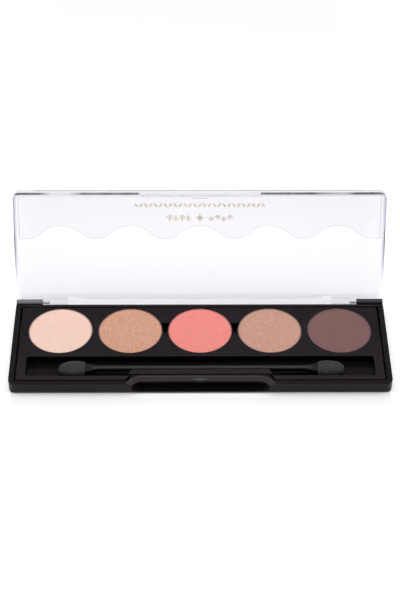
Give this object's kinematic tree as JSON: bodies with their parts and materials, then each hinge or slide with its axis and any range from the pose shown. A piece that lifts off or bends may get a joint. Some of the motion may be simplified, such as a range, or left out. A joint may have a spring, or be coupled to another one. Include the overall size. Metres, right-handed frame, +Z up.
{
  "type": "eyeshadow palette",
  "caption": "Slim rectangular eyeshadow palette: black base, round pressed-powder pans in an insert, clear hinged lid, thumb recess and double-ended sponge applicator in a trough.",
  "frame": {"origin": "centre of the flat underside of the case, on the plane it rests on, measured on the case without its hinge barrels", "axes": "+X to the right along the length, +Y to the hinge side, +Z up; the thumb recess faces -Y"},
  "size_m": [0.152, 0.0694, 0.0498],
  "materials": {
    "case_black": "moulded gloss black",
    "insert_black": "satin black",
    "adhesive": "double-sided adhesive film",
    "pan_metal": "bright drawn cup",
    "powder_ivory": "pressed powder, satin",
    "powder_copper": "pressed powder with fine glitter",
    "powder_coral": "pressed powder, matte",
    "powder_nude": "pressed powder, satin",
    "powder_plum": "pressed powder, matte",
    "pin_steel": "drawn wire",
    "label_paper": "blank printed-film label",
    "lid_clear": "clear, polished",
    "handle_black": "moulded gloss black",
    "sponge_foam": "fine open-cell foam, dark grey"
  },
  "bodies": {
    "base": {"base_tray": "case_black", "insert_panel": "insert_black", "pan_adhesive": "adhesive", "pan_1": "pan_metal", "pan_2": "pan_metal", "pan_3": "pan_metal", "pan_4": "pan_metal", "pan_5": "pan_metal", "powder_1": "powder_ivory", "powder_2": "powder_copper", "powder_3": "powder_coral", "powder_4": "powder_nude", "powder_5": "powder_plum", "hinge_pin_left": "pin_steel", "hinge_pin_right": "pin_steel", "underside_label": "label_paper"},
    "cover": {"lid": "lid_clear"},
    "applicator": {"applicator_handle": "handle_black", "sponge_tip_left": "sponge_foam", "sponge_tip_right": "sponge_foam"}
  },
  "joints": [
    {"name": "lid_hinge", "type": "hinge", "parent": "base", "child": "cover", "pos_m": [0, 0.02445, 0.00485], "axis": [1, 0, 0], "range_deg": [0, 112.5]},
    {"name": "applicator_lift", "type": "slide", "parent": "base", "child": "applicator", "axis": [0, 0, 1], "range_m": [0, 0.05]}
  ]
}
